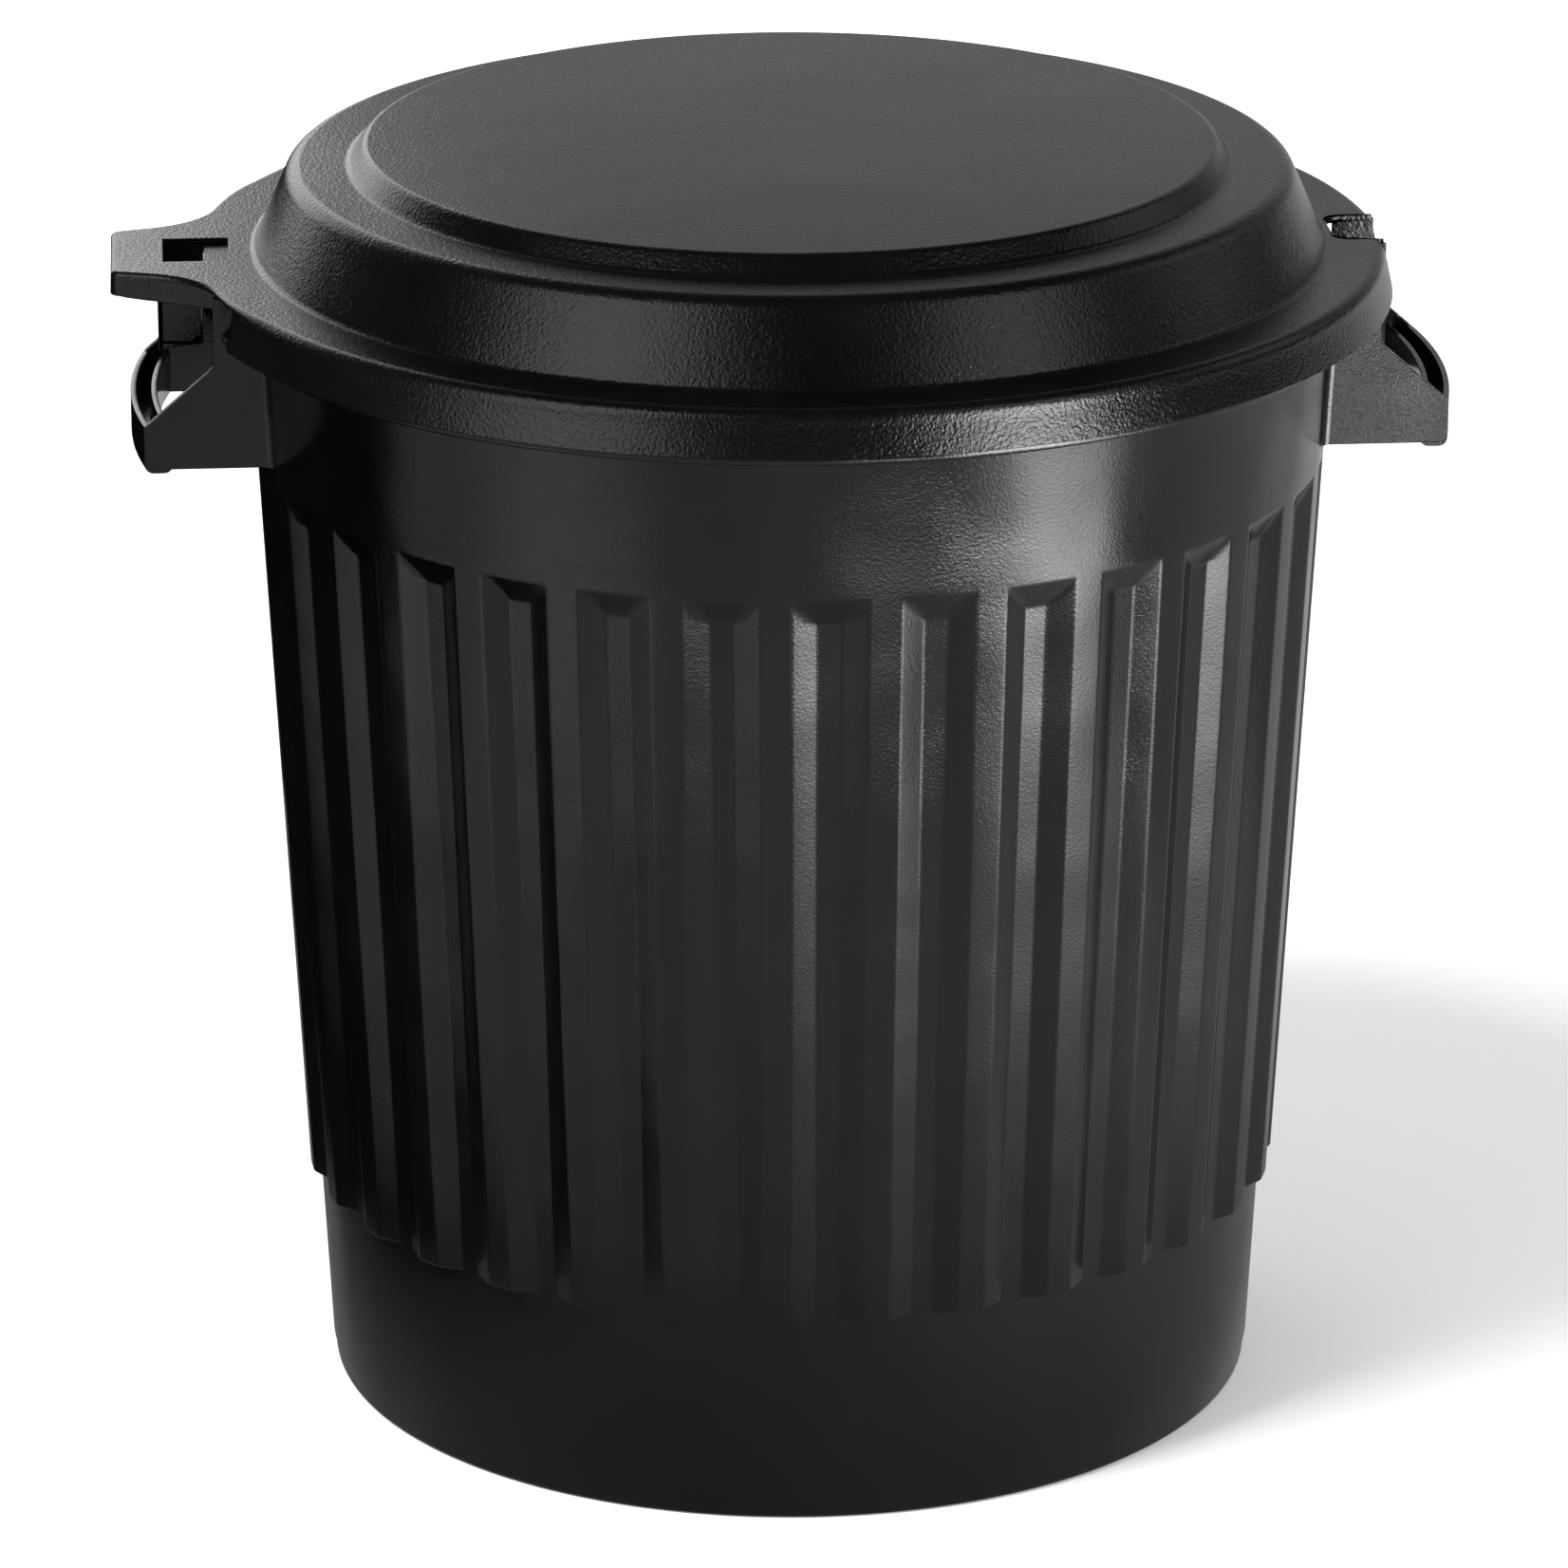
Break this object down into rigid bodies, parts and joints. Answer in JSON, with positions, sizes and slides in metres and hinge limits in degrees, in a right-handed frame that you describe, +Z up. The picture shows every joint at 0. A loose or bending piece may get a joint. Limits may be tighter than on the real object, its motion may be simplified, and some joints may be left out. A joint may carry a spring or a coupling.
{
  "type": "trash can with lid",
  "caption": "Round tapered plastic trash can with vertical flutes, a channel-shaped carrying handle on each side, and a domed lift-off lid with a lifting tab and snap hook.",
  "frame": {"origin": "on the can's vertical axis, in the plane of the foot ring that the can stands on", "axes": "+Z up along the can's axis; X runs through both handles, with the lid's lifting tab at -X and the notch in its rim at +X; +Y completes a right-handed frame"},
  "size_m": [0.5733, 0.516, 0.5525],
  "materials": {
    "can_plastic": "smooth black moulded plastic, glossy with soft uneven reflections",
    "lid_plastic": "black moulded plastic with a fine satin grain"
  },
  "bodies": {
    "can": {"can": "can_plastic"},
    "lid": {"lid": "lid_plastic"}
  },
  "joints": [
    {"name": "lid_lift", "type": "slide", "parent": "can", "child": "lid", "axis": [0, 0, 1], "range_m": [0, 0.25]}
  ]
}
